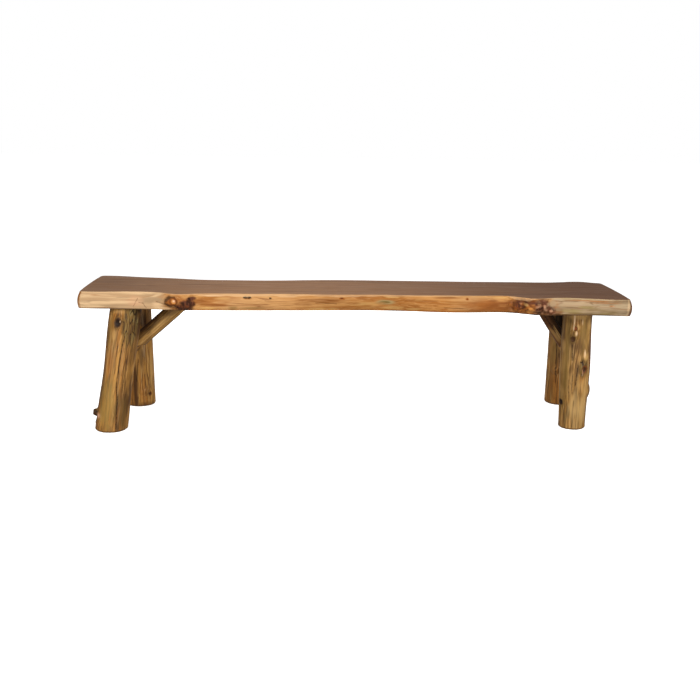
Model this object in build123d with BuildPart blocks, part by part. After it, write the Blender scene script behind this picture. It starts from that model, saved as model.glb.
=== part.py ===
from build123d import *
import os

# Rustic log bench: a live-edge slab on four splayed log legs. A short log rail ties the two legs
# of each end, and a thinner log brace runs from that rail up to the underside of the slab.
# Millimetres. +X runs along the bench to the right, -Y is the front, +Z is up. The origin lies on
# the floor under the middle of the seat.

os.makedirs("parts", exist_ok=True)

# The slab
seat_length = 1829.0
seat_height = 460.0
seat_thickness = 57.0
edge_belly = 7.0            # how far the natural edges swell out between the two sawn faces
end_belly = 9.0             # how far the rounded ends do, beyond their upper corners
end_heel = 7.0              # how far their lower corners do
end_bow = 5.0               # how far the middle of each end stands out beyond its corners
arris_round = 2.5           # sanding round along the sawn edges
crease_round = 6.0          # how softly the burls run into the edge
corner_round = 16.0         # plan radius at the four corners

# Natural edges: share of the half length, then the reach of the upper and of the lower arris
# from the centre line.
front_edge = [
    (-1.00, 143, 145),
    (-0.90, 145, 150),
    (-0.77, 138, 152),
    (-0.70, 156, 158),
    (-0.645, 184, 168),
    (-0.58, 169, 168),
    (-0.44, 162, 164),
    (-0.26, 157, 156),
    (-0.06, 163, 144),
    (0.10, 155, 139),
    (0.20, 163, 147),
    (0.32, 158, 164),
    (0.47, 157, 160),
    (0.58, 164, 162),
    (0.65, 208, 196),
    (0.70, 196, 205),
    (0.78, 184, 200),
    (0.88, 203, 198),
    (1.00, 212, 210),
]
rear_edge = [
    (-1.00, 219, 216),
    (-0.92, 213, 210),
    (-0.84, 193, 196),
    (-0.70, 169, 176),
    (-0.61, 146, 155),
    (-0.48, 138, 146),
    (-0.34, 138, 142),
    (-0.20, 153, 150),
    (-0.10, 165, 160),
    (0.10, 165, 160),
    (0.30, 160, 163),
    (0.52, 156, 162),
    (0.67, 158, 164),
    (0.82, 165, 170),
    (0.94, 180, 176),
    (0.97, 162, 164),
    (1.00, 152, 158),
]

# Knots and burls that swell out of the front edge: share of the half length, depth below the top
# face, how far behind the upper arris the middle lies, half length along the grain, radius.
edge_swellings = [
    (-0.657, 27, 6, 34, 20),
    (-0.617, 33, 7, 30, 19),
    (0.610, 33, 5, 32, 20),
    (0.648, 25, 3, 34, 21),
    (0.684, 33, 8, 30, 20),
]

# The legs. inset is how far the axis meets the underside from the end of the slab, setback how
# far from its centre line. out and fore are how much further towards the end and away from the
# centre line the foot stands. girths are diameters from the foot up to the shoulder.
legs = {
    "front_left": dict(inset=141, setback=80, out=42, fore=110, girths=(107, 104, 101, 107, 104)),
    "front_right": dict(inset=140, setback=85, out=-12, fore=55, girths=(91, 96, 103, 101, 101)),
    "rear_left": dict(inset=147, setback=85, out=4, fore=49, girths=(107, 104, 103, 102, 100)),
    "rear_right": dict(inset=141, setback=90, out=22, fore=96, girths=(107, 106, 105, 104, 103)),
}
foot_chamfer = 4.0

# Knots on the legs: height above the floor, bearing round the leg in degrees (0 faces +X,
# 270 faces the front), half length along the grain, radius, how far it stands out.
leg_knots = {
    "front_left": [(350, 262, 34, 30, 3)],
    "front_right": [(318, 248, 38, 28, 4), (213, 296, 32, 28, 3), (130, 350, 42, 30, 6)],
    "rear_left": [(60, 300, 30, 28, 3)],
    "rear_right": [(150, 235, 36, 28, 4)],
}
# Branch stubs: height, bearing, radius at the leg, how far the sawn end stands out.
leg_stubs = {"front_left": (48, 192, 20, 14)}
stub_taper = 14.0           # degrees
stub_round = 5.0

# Blind tenon at the top of each leg, held by a fox wedge
tenon_diameter = 50.0
mortise_depth = 44.0        # along the leg's axis, from the underside
tenon_end_gap = 2.0
tenon_chamfer = 2.0
fit_gap = 0.2               # radial clearance of every round fit
wedge_length = 32.0
wedge_thick_end = 7.0
wedge_thin_end = 2.0
kerf_run = 5.0              # the saw kerf runs on this far below the wedge

# Rails, tenoned into the two legs of each end
rail_height = 236.0         # of the rails' axes above the floor
rail_girth = 44.0
rail_swell = 1.5            # how much the middle of the rail stands out
rail_tenon_diameter = 28.0
rail_tenon_length = 34.0
rail_housing = 6.0          # how deep the shoulder sits in the leg's round face

# Braces. run is how far inwards the top of the brace lies from its rail.
braces = {
    "left": dict(run=188, girths=(48, 53, 55)),
    "right": dict(run=116, girths=(44, 41, 38)),
}
saddle_depth = 6.0          # how far the brace's level foot is scribed over the round of the rail

# Screws
screw_length = 70.0
screw_diameter = 6.0
screw_point = 9.0
screw_head_diameter = 13.0
screw_head_height = 4.5
screw_socket = 5.0          # across the flats
screw_socket_depth = 3.0
screw_gap = 0.2
mouth_gap = 1.0             # radial room round the head in its counterbore
seat_screw_grip = 26.0      # from the underside down to the head's bearing face
rail_screw_grip = 14.0      # from the rail's axis out to the head's bearing face

underside = seat_height - seat_thickness
half_length = seat_length / 2
overrun = 60.0              # spare log length that the saw takes off at each end
side = {"left": -1, "right": 1}
row = {"front": -1, "rear": 1}


def edge_point(edge, row_sign, arris, share):
    """Point of a natural edge at a share of the half length, straight between its rows."""
    for near, far in zip(edge, edge[1:]):
        if near[0] <= share <= far[0]:
            part_way = (share - near[0]) / (far[0] - near[0])
            reach = near[arris] + (far[arris] - near[arris]) * part_way
            return share * half_length, row_sign * reach


def outline_points(edge, row_sign, upper, lower, bulge, beyond):
    """A natural edge's points, its two arrises mixed by the shares upper and lower."""
    reach_ends = half_length + beyond
    return [
        (share * reach_ends, row_sign * (top * upper + bottom * lower + bulge * edge_belly))
        for share, top, bottom in edge
    ]


def swelling(centre, grain, half_run, radius):
    """A spindle-shaped swelling of the wood, long along the grain."""
    with BuildPart() as lump:
        with BuildSketch(Plane(origin=centre, x_dir=grain, z_dir=grain.cross(Vector(0, 1, 0)))):
            Ellipse(half_run, radius)
            Rectangle(2 * half_run, radius, align=(Align.CENTER, Align.MAX), mode=Mode.SUBTRACT)
        revolve(axis=Axis(centre, grain))
    return lump.part


def leg_axis(corner):
    """The point where a leg's axis meets the underside, and the axis's direction upwards."""
    row_name, side_name = corner.split("_")
    leg = legs[corner]
    top = Vector(
        side[side_name] * (half_length - leg["inset"]), row[row_name] * leg["setback"], underside
    )
    foot = Vector(
        top.X + side[side_name] * leg["out"], top.Y + row[row_name] * leg["fore"], 0
    )
    return top, (top - foot).normalized()


def on_axis(corner, height):
    """The point of a leg's axis at a height above the floor."""
    top, up = leg_axis(corner)
    return top - up * ((underside - height) / up.Z)


def girth_at(corner, height):
    """A leg's diameter at a height above the floor, straight between its stated girths."""
    girths = legs[corner]["girths"]
    place = height / underside * (len(girths) - 1)
    lower = min(int(place), len(girths) - 2)
    return girths[lower] + (girths[lower + 1] - girths[lower]) * (place - lower)


def tenon_plane(corner):
    """Plane at the shoulder's middle, square to the leg, with its x as near +X as it can be."""
    top, up = leg_axis(corner)
    return Plane(origin=top, x_dir=Vector(0, 1, 0).cross(up), z_dir=up)


def round_bar(place, diameter, start, end):
    """A plain round bar along the plane's normal, from start to end."""
    with BuildPart() as bar:
        with BuildSketch(place.offset(start)):
            Circle(diameter / 2)
        extrude(amount=end - start)
    return bar.part


def rail_plane(end):
    """Plane with its origin on the front leg's axis, its x along the rail, and the span."""
    front = on_axis("front_" + end, rail_height)
    rear = on_axis("rear_" + end, rail_height)
    along = rear - front
    return Plane(origin=front, x_dir=along, z_dir=along.cross(Vector(0, 0, 1))), along.length


def rail_form(end, gap=0.0, end_gap=0.0):
    """The rail as turned, or, with gaps, the cutter for its mortises and for the brace's saddle."""
    place, span = rail_plane(end)
    front_shoulder = girth_at("front_" + end, rail_height) / 2 - rail_housing
    rear_shoulder = span - girth_at("rear_" + end, rail_height) / 2 + rail_housing
    tenon = rail_tenon_diameter / 2 + gap
    body = rail_girth / 2 + gap
    slope = body - tenon
    tip = front_shoulder - rail_tenon_length - end_gap
    far_tip = rear_shoulder + rail_tenon_length + end_gap
    with BuildPart() as form:
        with BuildSketch(place):
            with BuildLine():
                Polyline((far_tip, 0), (tip, 0), (tip, tenon), (front_shoulder, tenon),
                         (front_shoulder + slope, body))
                ThreePointArc(
                    (front_shoulder + slope, body),
                    ((front_shoulder + rear_shoulder) / 2, body + rail_swell),
                    (rear_shoulder - slope, body),
                )
                Polyline((rear_shoulder - slope, body), (rear_shoulder, tenon), (far_tip, tenon),
                         (far_tip, 0))
            make_face()
        revolve(axis=Axis(place.origin, place.x_dir))
    return form.part


def brace_axis(end):
    """The middle of the rail, the middle of the brace's seat on the slab, and the direction."""
    place, span = rail_plane(end)
    foot = place.origin + place.x_dir * (span / 2)
    top = Vector(foot.X - side[end] * braces[end]["run"], foot.Y, underside)
    return foot, top, (top - foot).normalized()


def screw_planes(end):
    """Planes on the two screws' bearing faces, with the normal pointing the way they drive."""
    foot, top, along = brace_axis(end)
    seat_screw = Plane(origin=top - Vector(0, 0, seat_screw_grip), z_dir=(0, 0, 1))
    rail_screw = Plane(origin=foot - along * rail_screw_grip, z_dir=along)
    return seat_screw, rail_screw


def screw_form(place, gap=0.0, mouth=0.0):
    """A screw, or, with a gap and a mouth, the hole and counterbore that it needs."""
    shank = screw_diameter / 2 + gap
    head = screw_head_diameter / 2 + (mouth_gap if mouth else 0)
    head_top = -mouth if mouth else -screw_head_height
    side_on = Plane(origin=place.origin, x_dir=place.x_dir, z_dir=-place.y_dir)
    with BuildPart() as screw:
        with BuildSketch(side_on):
            with BuildLine():
                Polyline(
                    (0, head_top), (head, head_top), (head, 0), (shank, 0),
                    (shank, screw_length - screw_point), (0, screw_length + gap), (0, head_top),
                )
            make_face()
        revolve(axis=Axis(place.origin, place.z_dir))
        if not mouth:
            with BuildSketch(place.offset(-screw_head_height)):
                RegularPolygon(screw_socket / 2, 6, major_radius=False)
            extrude(amount=screw_socket_depth, mode=Mode.SUBTRACT)
    return screw.part


def wedge_form(corner, kerf=0.0):
    """The fox wedge, round at the sides like its tenon, or, with a kerf, the slot for it."""
    place = tenon_plane(corner)
    tip = mortise_depth - wedge_length
    with BuildPart() as wedge:
        with BuildSketch(Plane(origin=place.origin, x_dir=place.x_dir, z_dir=-place.y_dir)):
            with BuildLine():
                Polyline(
                    (-wedge_thin_end / 2, tip), (wedge_thin_end / 2, tip),
                    (wedge_thick_end / 2, mortise_depth), (-wedge_thick_end / 2, mortise_depth),
                    (-wedge_thin_end / 2, tip),
                )
            make_face()
            if kerf:
                with Locations((0, tip)):
                    Rectangle(wedge_thin_end, kerf, align=(Align.CENTER, Align.MAX))
        extrude(amount=tenon_diameter, both=True)
        if not kerf:
            with BuildSketch(place):
                Circle(tenon_diameter / 2)
            extrude(amount=mortise_depth, mode=Mode.INTERSECT)
    return wedge.part


def square_to(up, bearing):
    """The direction at a bearing round a leg, square to the leg's axis."""
    outwards = Vector(1, 0, 0).rotate(Axis.Z, bearing)
    return (outwards - up * outwards.dot(up)).normalized()


def branch_stub(corner):
    """A sawn and rounded branch stub that starts inside the log and tapers outwards."""
    height, bearing, radius, stands_out = leg_stubs[corner]
    outwards = square_to(leg_axis(corner)[1], bearing)
    bark = girth_at(corner, height) / 2
    with BuildPart() as stub:
        with BuildSketch(Plane(origin=on_axis(corner, height) + outwards * bark / 2, z_dir=outwards)):
            Circle(radius)
        extrude(amount=bark / 2 + stands_out, taper=stub_taper)
        fillet(stub.faces().sort_by(Axis(stub.part.center(), outwards))[-1].edges(), stub_round)
    return stub.part


def is_crease(edge):
    """Where a burl runs into the natural edge: a curve that stays clear of the sawn faces."""
    box = edge.bounding_box()
    clear = box.min.Z > underside + 2 * arris_round and box.max.Z < seat_height - 2 * arris_round
    return clear and edge.geom_type == GeomType.BSPLINE


def make_seat():
    """The slab: three outlines lofted upwards, with its burls, mortises and pilot holes."""
    # Height, share of the upper and of the lower arris in the outline there, share of the belly,
    # and how far the ends reach beyond their upper corners.
    layers = [
        (underside, 0, 1, 0, end_heel),
        (underside + seat_thickness / 2, 0.5, 0.5, 1, end_belly),
        (seat_height, 1, 0, 0, 0),
    ]
    lumps = []
    for share, depth, inside, half_run, radius in edge_swellings:
        x, y = edge_point(front_edge, -1, 1, share)
        centre = Vector(x, y + inside, seat_height - depth)
        lumps.append(swelling(centre, Vector(1, 0, 0), half_run, radius))
    mortises = [
        round_bar(tenon_plane(corner), tenon_diameter + 2 * fit_gap, -tenon_diameter, mortise_depth)
        for corner in legs
    ]
    pilots = [screw_form(screw_planes(end)[0], screw_gap) for end in side]

    with BuildPart() as seat_slab:
        for height, *blend in layers:
            with BuildSketch(Plane.XY.offset(height)):
                with BuildLine():
                    front = Spline(outline_points(front_edge, -1, *blend))
                    rear = Spline(outline_points(rear_edge, 1, *blend))
                    for step, outwards in ((0, -end_bow), (1, end_bow)):
                        middle = (front @ step + rear @ step) / 2 + Vector(outwards, 0)
                        ThreePointArc(front @ step, middle, rear @ step)
                make_face()
        loft()
        sawn = seat_slab.faces().sort_by(Axis.Z)
        fillet(seat_slab.edges() - sawn[0].edges() - sawn[-1].edges(), corner_round)
        sawn = seat_slab.faces().sort_by(Axis.Z)
        fillet(sawn[0].edges() + sawn[-1].edges(), arris_round)
        add(lumps)
        fillet(seat_slab.edges(Select.LAST).filter_by(is_crease), crease_round)
        add(mortises, mode=Mode.SUBTRACT)
        add(pilots, mode=Mode.SUBTRACT)
    return seat_slab


def make_leg(corner):
    """A peeled log: lofted along its axis, sawn level at foot and shoulder, with its tenon."""
    up = leg_axis(corner)[1]
    place = tenon_plane(corner)
    girths = legs[corner]["girths"]
    spacing = underside / up.Z / (len(girths) - 1)
    girths = (girths[0], *girths, girths[-1])
    stations = [(step + 2 - len(girths)) * spacing for step in range(len(girths))]
    lumps = []
    for height, bearing, half_run, radius, stands_out in leg_knots[corner]:
        outwards = square_to(up, bearing)
        reach = girth_at(corner, height) / 2 + stands_out - radius
        lumps.append(swelling(on_axis(corner, height) + outwards * reach, up, half_run, radius))
    if corner in leg_stubs:
        lumps.append(branch_stub(corner))
    tenon_end = mortise_depth - tenon_end_gap
    tenon = round_bar(place, tenon_diameter, -overrun, tenon_end)
    slot = wedge_form(corner, kerf_run)
    rail_mortise = rail_form(corner.split("_")[1], fit_gap, tenon_end_gap)

    with BuildPart() as leg:
        for station, girth in zip(stations, girths):
            with BuildSketch(place.offset(station)):
                Circle(girth / 2)
        loft()
        add(lumps)
        split(bisect_by=Plane.XY.offset(underside), keep=Keep.BOTTOM)
        split(bisect_by=Plane.XY, keep=Keep.TOP)
        chamfer(leg.faces().sort_by(Axis.Z)[0].edges(), foot_chamfer)
        add(tenon)
        chamfer(leg.edges().sort_by(Axis(place.origin, place.z_dir))[-1], tenon_chamfer)
        add(slot, mode=Mode.SUBTRACT)
        add(rail_mortise, mode=Mode.SUBTRACT)
    return leg


def make_brace(end):
    """A thinner log: its foot saddled over the rail, its top bevelled flat to the underside."""
    foot, top, along = brace_axis(end)
    girths = braces[end]["girths"]
    run = (top - foot).length
    stations = [-overrun, run / 2, run + overrun]
    saddle = rail_form(end, fit_gap)
    holes = [screw_form(place, screw_gap, overrun) for place in screw_planes(end)]

    with BuildPart() as brace:
        for station, girth in zip(stations, girths):
            with BuildSketch(Plane(origin=foot + along * station, z_dir=along)):
                Circle(girth / 2)
        loft()
        split(bisect_by=Plane.XY.offset(underside), keep=Keep.BOTTOM)
        split(bisect_by=Plane.XY.offset(rail_height + rail_girth / 2 - saddle_depth), keep=Keep.TOP)
        add(saddle, mode=Mode.SUBTRACT)
        add(holes, mode=Mode.SUBTRACT)
    return brace


def make_rail(end):
    """The turned rail with the counterbored hole for the screw that holds the brace's foot."""
    hole = screw_form(screw_planes(end)[1], screw_gap, overrun)
    with BuildPart() as rail:
        add(rail_form(end))
        add(hole, mode=Mode.SUBTRACT)
    return rail


def save(piece, name):
    piece.label = name
    export_step(piece, f"parts/{name}.step")


seat_slab = make_seat()
save(seat_slab.part, "seat_slab")

for corner in legs:
    leg = make_leg(corner)
    save(leg.part, f"leg_{corner}")
    save(wedge_form(corner), f"wedge_{corner}")

for end in side:
    save(make_rail(end).part, f"rail_{end}")
    save(make_brace(end).part, f"brace_{end}")
    with BuildPart() as brace_screws:
        add([screw_form(place) for place in screw_planes(end)])
    save(brace_screws.part, f"brace_screws_{end}")
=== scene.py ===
from math import pi

import bmesh
import bpy
import numpy as np
from mathutils import Matrix, Vector


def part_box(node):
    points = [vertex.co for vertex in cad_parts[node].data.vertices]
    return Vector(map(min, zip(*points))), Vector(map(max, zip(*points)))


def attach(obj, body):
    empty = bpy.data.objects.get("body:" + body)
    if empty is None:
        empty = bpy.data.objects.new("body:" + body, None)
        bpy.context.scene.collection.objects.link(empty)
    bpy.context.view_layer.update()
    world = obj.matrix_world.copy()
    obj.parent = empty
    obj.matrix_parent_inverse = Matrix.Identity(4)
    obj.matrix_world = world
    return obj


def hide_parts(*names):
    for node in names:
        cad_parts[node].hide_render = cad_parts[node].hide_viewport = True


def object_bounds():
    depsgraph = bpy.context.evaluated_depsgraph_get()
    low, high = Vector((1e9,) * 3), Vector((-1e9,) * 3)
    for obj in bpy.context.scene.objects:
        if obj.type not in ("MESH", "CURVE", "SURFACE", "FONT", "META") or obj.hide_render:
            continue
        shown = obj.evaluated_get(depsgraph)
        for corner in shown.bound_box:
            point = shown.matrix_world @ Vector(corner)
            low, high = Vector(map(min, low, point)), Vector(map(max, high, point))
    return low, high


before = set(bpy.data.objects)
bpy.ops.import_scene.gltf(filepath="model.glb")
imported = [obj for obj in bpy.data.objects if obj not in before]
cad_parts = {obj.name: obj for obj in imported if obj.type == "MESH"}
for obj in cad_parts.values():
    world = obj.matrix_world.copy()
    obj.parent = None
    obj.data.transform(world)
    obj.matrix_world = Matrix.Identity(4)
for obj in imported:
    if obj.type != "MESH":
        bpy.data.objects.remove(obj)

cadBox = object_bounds()
print("Frame in, box", [tuple(round(value, 3) for value in corner) for corner in cadBox])

# The bench stands on the floor with its front towards -Y and its length on X. Surfaces are in
# metres. Knots, cracks and stains are listed in millimetres, with shares in percent.

# Stains and shades that are laid over the wood, as linear red, green and blue.
# Some patches lay these tones as painted shade and painted light; the lists say where.
woodTones = {
    "cream": (0.7, 0.47, 0.26),
    "rose": (0.56, 0.29, 0.16),
    "ash": (0.33, 0.23, 0.13),
    "slate": (0.33, 0.215, 0.115),
    "straw": (0.6, 0.35, 0.12),
    "lichen": (0.33, 0.25, 0.11),
    "sage": (0.15, 0.092, 0.026),
    "mauve": (0.145, 0.08, 0.05),
    "flame": (0.56, 0.23, 0.055),
    "mustard": (0.285, 0.18, 0.042),
    "moss": (0.25, 0.185, 0.072),
    "olive": (0.15, 0.088, 0.022),
    "russet": (0.3, 0.098, 0.02),
    "rust": (0.15, 0.042, 0.01),
    "umber": (0.052, 0.022, 0.008),
    "plum": (0.088, 0.03, 0.018),
    "pitch": (0.014, 0.007, 0.004),
}


# Smooth noise from -1 to 1 with lumps of the given size in millimetres: a block of random values
# that repeats, blended between the eight corners round each place with an S-shaped weight.
def softNoise(place, lump, seed):
    block = np.random.default_rng(seed).uniform(-1, 1, (32, 32, 32))
    place = 1000 * place / lump
    low = np.floor(place).astype(int)
    part = place - low
    part = part * part * (3 - 2 * part)
    total = np.zeros(place.shape[:-1])
    for corner in np.ndindex(2, 2, 2):
        corner = np.array(corner)
        weight = np.prod(np.where(corner == 1, part, 1 - part), axis=-1)
        total += weight * block[tuple(np.moveaxis((low + corner) % len(block), -1, 0))]
    return total


# An S-shaped ramp from 0 at low to 1 at high, where high may be the lower value: three times the
# square of the share of the way, less twice its cube.
def ramp(value, low, high):
    part = np.clip((value - low) / (high - low), 0, 1)
    return part * part * (3 - 2 * part)


# Directions of length 1: each vector divided by its own length.
def unit(vectors):
    return vectors / np.linalg.norm(vectors, axis=-1, keepdims=True)


# Triangles of a CAD part as an array of three corners each.
def skinOf(node):
    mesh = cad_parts[node].data
    mesh.calc_loop_triangles()
    corners = np.empty(len(mesh.loop_triangles) * 3, np.int32)
    mesh.loop_triangles.foreach_get("vertices", corners)
    places = np.empty(len(mesh.vertices) * 3)
    mesh.vertices.foreach_get("co", places)
    return places.reshape(-1, 3)[corners].reshape(-1, 3, 3)


# Where a level plane cuts the triangles: each crossing divides its edge in the ratio of the two
# ends' heights above and below the plane, and even steps lead from a triangle's first crossing to
# its second.
def levelCut(skin, height, steps=1):
    far = np.roll(skin, -1, axis=1)
    above, below = skin[..., 2] - height, far[..., 2] - height
    crossed = above * below < 0
    crossed &= (crossed.sum(axis=1) == 2)[:, None]
    share = above[crossed] / (above[crossed] - below[crossed])
    ends = (skin[crossed] + (far[crossed] - skin[crossed]) * share[:, None]).reshape(-1, 2, 3)
    part = np.linspace(0, 1, steps + 1)[:, None]
    return (ends[:, :1] + (ends[:, 1:] - ends[:, :1]) * part).reshape(-1, 3)


# Reach at the wanted places round a centre line, straight between the cut's own points. Points
# nearer than the clear distance belong to mortises and holes and are passed over.
def reachRound(turn, reach, clear, wanted, period):
    outer = reach > clear
    order = np.argsort(turn[outer])
    return np.interp(wanted, turn[outer][order], reach[outer][order], period=period)


# Lays a stain over a colour-and-amount array: the new colour takes over by its share.
def layStain(stain, tone, share):
    share = share[..., None]
    amount = stain[..., 3:]
    total = share + amount * (1 - share)
    colour = np.array(woodTones[tone]) * share + stain[..., :3] * amount * (1 - share)
    stain[:] = np.concatenate([colour / np.maximum(total, 1e-6), total], axis=-1)


# Grain lines part round a knot as water does round a post: they shift by their distance across
# it, less beyond its rim, where the distance is divided by the square of its shares of the knot.
def grainShift(gap, away):
    return gap * np.minimum(1 / np.maximum(away, 0.3), 1) ** 2


# A new object with its data, put into the scene.
def newObject(name, data):
    made = bpy.data.objects.new(name, data)
    bpy.context.scene.collection.objects.link(made)
    return made


# A closed surface from a grid of points. Rows run from one pole to the other, columns close on
# themselves, and the marks (grain, stain, faces) are the material's values at each point.
def makePiece(name, grid, marks, material, node):
    rows, columns = grid.shape[:2]
    grid = np.clip(grid, np.array(cadBox[0]), np.array(cadBox[1]))
    index = np.arange(rows * columns).reshape(rows, columns)
    beside = np.roll(index, -1, axis=1)
    quads = np.stack([index[:-1], index[1:], beside[1:], beside[:-1]], axis=-1).reshape(-1, 4)
    mesh = bpy.data.meshes.new(name)
    mesh.from_pydata(grid.reshape(-1, 3), [], quads)
    for mark, values in zip(("grain", "stain", "faces"), marks):
        kind, field = {3: ("FLOAT_VECTOR", "vector"), 4: ("FLOAT_COLOR", "color")}[values.shape[-1]]
        layer = mesh.attributes.new(mark, kind, "POINT")
        layer.data.foreach_set(field, values.astype(np.float32).ravel())
    tidied = bmesh.new()
    tidied.from_mesh(mesh)
    bmesh.ops.remove_doubles(tidied, verts=tidied.verts, dist=1e-6)
    bmesh.ops.recalc_face_normals(tidied, faces=tidied.faces)
    tidied.to_mesh(mesh)
    tidied.free()
    mesh.shade_smooth()
    mesh.materials.append(material)
    piece = newObject(name, mesh)
    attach(piece, "root")
    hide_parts(node)
    print(name, "made,", len(mesh.polygons), "faces")


# A new material and its node tree, with values that are the same all over the surface.
def newMaterial(name, values):
    material = bpy.data.materials.new(name)
    material.use_nodes = True
    tree = material.node_tree
    for socket, value in values.items():
        tree.nodes["Principled BSDF"].inputs[socket].default_value = value
    return material, tree


# One shader node with its settings, its plain values and its links in a single call.
def addNode(tree, kind, inputs, **settings):
    made = tree.nodes.new("ShaderNode" + kind)
    for name, value in settings.items():
        setattr(made, name, value)
    for socket, value in inputs.items():
        if isinstance(value, bpy.types.NodeSocket):
            tree.links.new(value, made.inputs[socket])
        else:
            made.inputs[socket].default_value = value
    return made


# One step of arithmetic on values or sockets.
def mathNode(tree, operation, *values):
    inputs = dict(enumerate(values))
    return addNode(tree, "Math", inputs, operation=operation).outputs[0]


# Sum of values, each times its weight.
def weighSum(tree, *terms):
    total = 0.0
    for value, weight in terms:
        total = mathNode(tree, "MULTIPLY_ADD", value, weight, total)
    return total


# The second tone over the first by a share. A plain tone of three values gains its alpha.
def mixColour(tree, share, *tones):
    first, second = ((*tone, 1.0) if isinstance(tone, tuple) else tone for tone in tones)
    return addNode(tree, "Mix", {0: share, 6: first, 7: second}, data_type="RGBA").outputs[2]


# A soft step between two values of a texture.
def stepNode(tree, value, low, high, fromValue=0.0, toValue=1.0):
    made = addNode(tree, "MapRange", {0: value, 1: low, 2: high, 3: fromValue, 4: toValue})
    made.interpolation_type = "SMOOTHSTEP"
    return made.outputs[0]


# Noise drawn out along the grain: across and along are how many features fit in a metre.
def grainNoise(tree, grain, across, along, detail, twist=0.0):
    stretched = addNode(tree, "Mapping", {"Vector": grain, "Scale": (across, across, along)})
    look = {"Vector": stretched.outputs[0], "Scale": 1.0, "Detail": detail, "Distortion": twist}
    return addNode(tree, "TexNoise", look).outputs[0]


# Thin lines along the grain, where noise drawn out along it passes its middle value.
def grainLines(tree, grain, across, along, width, share):
    offMiddle = weighSum(tree, (grainNoise(tree, grain, across, along, 2.0, 0.3), 1.0), (1.0, -0.5))
    return stepNode(tree, mathNode(tree, "ABSOLUTE", offMiddle), width, 0.0, 0.0, share)


# Growth rings as bands round the heart of the log, bent by slow noise so that they run out on a
# peeled face in long tongues.
def ringBands(tree, grain, spacing, sway):
    drift = grainNoise(tree, grain, 9.0, 1.6, 2.0)
    x, y = addNode(tree, "SeparateXYZ", {0: grain}).outputs[:2]
    radius = mathNode(tree, "SQRT", weighSum(tree, (x, x), (y, y)))
    bent = weighSum(tree, (radius, 1.0), (drift, sway))
    return mathNode(tree, "FRACT", mathNode(tree, "DIVIDE", bent, spacing))


# Every wood starts from three values that its pieces carry at each point: grain is the place in
# the log's own directions, stain a colour with its amount, and faces what kind of surface it is.
def newWood(name, finish):
    material, tree = newMaterial(name, {"Specular IOR Level": finish["gloss"]})
    carried = {}
    for mark in ("grain", "stain", "faces"):
        carried[mark] = addNode(tree, "Attribute", {}, attribute_name=mark).outputs
    grain = carried["grain"]["Vector"]
    kinds = addNode(tree, "SeparateXYZ", {0: carried["faces"]["Vector"]}).outputs
    textures = {key: grainNoise(tree, grain, *size) for key, size in finish["textures"].items()}
    textures["rings"] = ringBands(tree, grain, finish["ringSpacing"], finish["ringSway"])
    return material, tree, grain, carried["stain"], kinds, textures


# Lays tones over a colour, each where its texture passes from one value to the other.
def layTones(tree, colour, textures, layers, tones):
    for texture, low, high, share, tone in layers:
        held = stepNode(tree, textures[texture], low, high, 0.0, share)
        colour = mixColour(tree, held, colour, tones[tone])
    return colour


# Colour, roughness between its two values by the sheen, and a bump from the height.
def finishShader(tree, colour, height, sheen, finish):
    shader = tree.nodes["Principled BSDF"]
    dull, bright = finish["roughness"]
    tree.links.new(colour, shader.inputs["Base Color"])
    tree.links.new(stepNode(tree, sheen, 0.3, 0.7, dull, bright), shader.inputs["Roughness"])
    bump = {"Height": height, "Strength": finish["bump"], "Distance": 0.0012}
    tree.links.new(addNode(tree, "Bump", bump).outputs[0], shader.inputs["Normal"])


# The end grain and the stains go over everything else.
def finishWood(tree, colour, sawn, stain, kinds, textures, relief, finish):
    ends = layTones(tree, sawn, textures, finish["endLayers"], finish)
    colour = mixColour(tree, kinds[1], colour, ends)
    colour = mixColour(tree, stain["Alpha"], colour, stain["Color"])
    height = weighSum(tree, (textures["fine"], 0.6), (textures["streak"], 1.0), *relief)
    finishShader(tree, colour, height, textures["streak"], finish)


# Textures are noise: features in a metre across and along the grain, detail and twist. Layers
# lay a tone where a texture passes from one value to another: texture, from, to, share, tone.
logFinish = {
    "deep": (0.25, 0.092, 0.02),  # the reddest logs
    "honey": (0.425, 0.208, 0.047),
    "amber": (0.3, 0.122, 0.022),
    "gold": (0.43, 0.255, 0.082),  # the yellowest logs
    "goldShade": (0.27, 0.15, 0.04),
    "olive": (0.15, 0.085, 0.02),
    "umber": (0.052, 0.022, 0.007),
    "fleck": (0.64, 0.38, 0.16),
    "sawn": (0.4, 0.215, 0.08),
    "textures": {
        "patch": (17.0, 4.0, 2.0, 0.5),
        "cloud": (26.0, 6.5, 2.0, 0.8),
        "broad": (34.0, 2.2, 3.0, 0.6),
        "streak": (90.0, 3.5, 4.0, 0.5),
        "fine": (260.0, 6.0, 4.0, 0.3),
    },
    "layers": (
        ("cloud", 0.55, 0.7, 0.55, "amber"),
        ("patch", 0.48, 0.34, 0.7, "olive"),
        ("streak", 0.47, 0.33, 0.8, "olive"),
        ("rings", 0.55, 0.98, 0.18, "umber"),
        ("fine", 0.47, 0.34, 0.6, "umber"),
        ("fine", 0.53, 0.7, 0.5, "fleck"),
    ),
    "endLayers": (("rings", 0.55, 0.98, 0.6, "umber"),),
    # dark lines: how many in a metre across and along, width in the noise, share
    "lines": (60.0, 2.6, 0.03, 0.7),
    "hairs": (150.0, 7.0, 0.04, 0.45),
    "ringSpacing": 0.0042,
    "ringSway": 0.06,
    "gloss": 0.1,
    "roughness": (0.34, 0.58),
    "bump": 0.35,
}


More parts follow.
